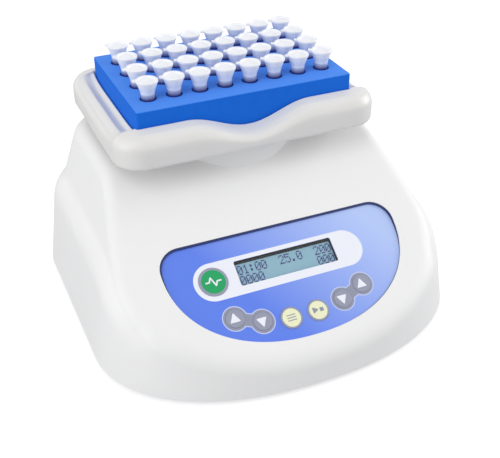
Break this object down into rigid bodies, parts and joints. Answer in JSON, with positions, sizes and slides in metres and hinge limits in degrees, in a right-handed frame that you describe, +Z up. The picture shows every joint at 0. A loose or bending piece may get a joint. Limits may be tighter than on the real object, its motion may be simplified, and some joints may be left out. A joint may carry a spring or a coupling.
{
  "type": "microplate shaker",
  "caption": "Benchtop microplate shaker: an orbiting tray with finger notches holds a tube rack above a sloping keypad housing.",
  "frame": {"origin": "under the middle of the housing's footprint, on the bench", "axes": "+Z up, -Y the front with the sloping keypad, +X the housing's right-hand side seen from the front"},
  "size_m": [0.216, 0.2046, 0.14],
  "materials": {
    "body_abs": "fine moulded grain",
    "tray_abs": "smooth moulded",
    "rack_foam": "fine closed-cell foam",
    "label_film": "printed polyester film",
    "rubber": "moulded rubber",
    "mat_rubber": "ribbed rubber sheet",
    "tube_pp": "translucent polypropylene",
    "window": "clear acrylic",
    "black_plastic": "moulded",
    "lcd_glass": "liquid crystal glass",
    "circuit_board": "solder resist",
    "steel_sheet": "powder coat",
    "screw_steel": "zinc plated",
    "brass": "turned",
    "switch_plastic": "moulded",
    "cast_alloy": "die cast",
    "motor_steel": "plated",
    "rotor_iron": "laminated",
    "key_green": "moulded",
    "key_cream": "moulded",
    "key_grey": "moulded"
  },
  "bodies": {
    "housing": {"feet": "rubber", "base_plate": "steel_sheet", "base_screws": "screw_steel", "cover": "body_abs", "panel_label": "label_film", "lcd_window": "window", "lcd_bezel": "black_plastic", "lcd_glass": "lcd_glass", "lcd_board": "circuit_board", "lcd_spacers": "brass", "control_board": "circuit_board", "key_switches": "switch_plastic", "board_screws": "screw_steel", "drive_board": "circuit_board", "drive_board_parts": "switch_plastic", "dc_inlet": "black_plastic", "inlet_nut": "screw_steel", "switch_body": "black_plastic", "drive_chassis": "cast_alloy", "chassis_pillars": "screw_steel", "chassis_screws": "screw_steel", "motor_case": "motor_steel", "speed_sensor": "black_plastic", "main_bearings": "motor_steel", "idler_bushes": "brass"},
    "crank": {"crank_shaft": "motor_steel", "motor_rotor": "rotor_iron", "speed_disc": "black_plastic", "counterweight": "brass"},
    "idler_1": {"idler_crank_1": "motor_steel"},
    "idler_2": {"idler_crank_2": "motor_steel"},
    "idler_3": {"idler_crank_3": "motor_steel"},
    "platform": {"platform_hub": "cast_alloy", "hub_bearing": "motor_steel", "hub_bushes": "brass", "hub_screws": "screw_steel", "platform_tray": "tray_abs", "tray_mat": "mat_rubber"},
    "rack": {"tube_rack": "rack_foam", "tube_row_1": "tube_pp", "tube_row_2": "tube_pp", "tube_row_3": "tube_pp", "tube_row_4": "tube_pp"},
    "pulse_key": {"pulse_key": "key_green"},
    "mode_key": {"mode_key": "key_cream"},
    "run_key": {"run_key": "key_cream"},
    "time_up_key": {"time_up_key": "key_grey"},
    "time_down_key": {"time_down_key": "key_grey"},
    "speed_down_key": {"speed_down_key": "key_grey"},
    "speed_up_key": {"speed_up_key": "key_grey"},
    "power_rocker": {"power_rocker": "black_plastic"}
  },
  "joints": [
    {"name": "crank_spin", "type": "hinge", "parent": "housing", "child": "crank", "pos_m": [0, 0.0435, 0.05], "axis": [0, 0, 1], "continuous": true},
    {"name": "idler_1_spin", "type": "hinge", "parent": "housing", "child": "idler_1", "pos_m": [0.02771, 0.0595, 0.075], "axis": [0, 0, 1], "continuous": true},
    {"name": "idler_2_spin", "type": "hinge", "parent": "housing", "child": "idler_2", "pos_m": [-0.02771, 0.0595, 0.075], "axis": [0, 0, 1], "continuous": true},
    {"name": "idler_3_spin", "type": "hinge", "parent": "housing", "child": "idler_3", "pos_m": [0, 0.0115, 0.075], "axis": [0, 0, 1], "continuous": true},
    {"name": "platform_turn", "type": "hinge", "parent": "crank", "child": "platform", "pos_m": [0, 0.042, 0.092], "axis": [0, 0, 1], "continuous": true},
    {"name": "rack_lift", "type": "slide", "parent": "platform", "child": "rack", "axis": [0, 0, 1], "range_m": [0, 0.05]},
    {"name": "pulse_press", "type": "slide", "parent": "housing", "child": "pulse_key", "axis": [0, 0.5505, -0.8348], "range_m": [0, 0.0004], "stiffness_N_per_m": 2000, "springref_m": -0.0002},
    {"name": "mode_press", "type": "slide", "parent": "housing", "child": "mode_key", "axis": [0, 0.5505, -0.8348], "range_m": [0, 0.0004], "stiffness_N_per_m": 2000, "springref_m": -0.0002},
    {"name": "run_press", "type": "slide", "parent": "housing", "child": "run_key", "axis": [0, 0.5505, -0.8348], "range_m": [0, 0.0004], "stiffness_N_per_m": 2000, "springref_m": -0.0002},
    {"name": "time_up_press", "type": "slide", "parent": "housing", "child": "time_up_key", "axis": [0, 0.5505, -0.8348], "range_m": [0, 0.0004], "stiffness_N_per_m": 2000, "springref_m": -0.0002},
    {"name": "time_down_press", "type": "slide", "parent": "housing", "child": "time_down_key", "axis": [0, 0.5505, -0.8348], "range_m": [0, 0.0004], "stiffness_N_per_m": 2000, "springref_m": -0.0002},
    {"name": "speed_down_press", "type": "slide", "parent": "housing", "child": "speed_down_key", "axis": [0, 0.5505, -0.8348], "range_m": [0, 0.0004], "stiffness_N_per_m": 2000, "springref_m": -0.0002},
    {"name": "speed_up_press", "type": "slide", "parent": "housing", "child": "speed_up_key", "axis": [0, 0.5505, -0.8348], "range_m": [0, 0.0004], "stiffness_N_per_m": 2000, "springref_m": -0.0002},
    {"name": "power_tilt", "type": "hinge", "parent": "housing", "child": "power_rocker", "pos_m": [-0.028, 0.0905, 0.027], "axis": [1, 0, 0], "range_deg": [0, 20]}
  ],
  "couplings": [
    {"joint": "idler_1_spin", "follows": "crank_spin", "ratio": 1},
    {"joint": "idler_2_spin", "follows": "crank_spin", "ratio": 1},
    {"joint": "idler_3_spin", "follows": "crank_spin", "ratio": 1},
    {"joint": "platform_turn", "follows": "crank_spin", "ratio": -1}
  ]
}
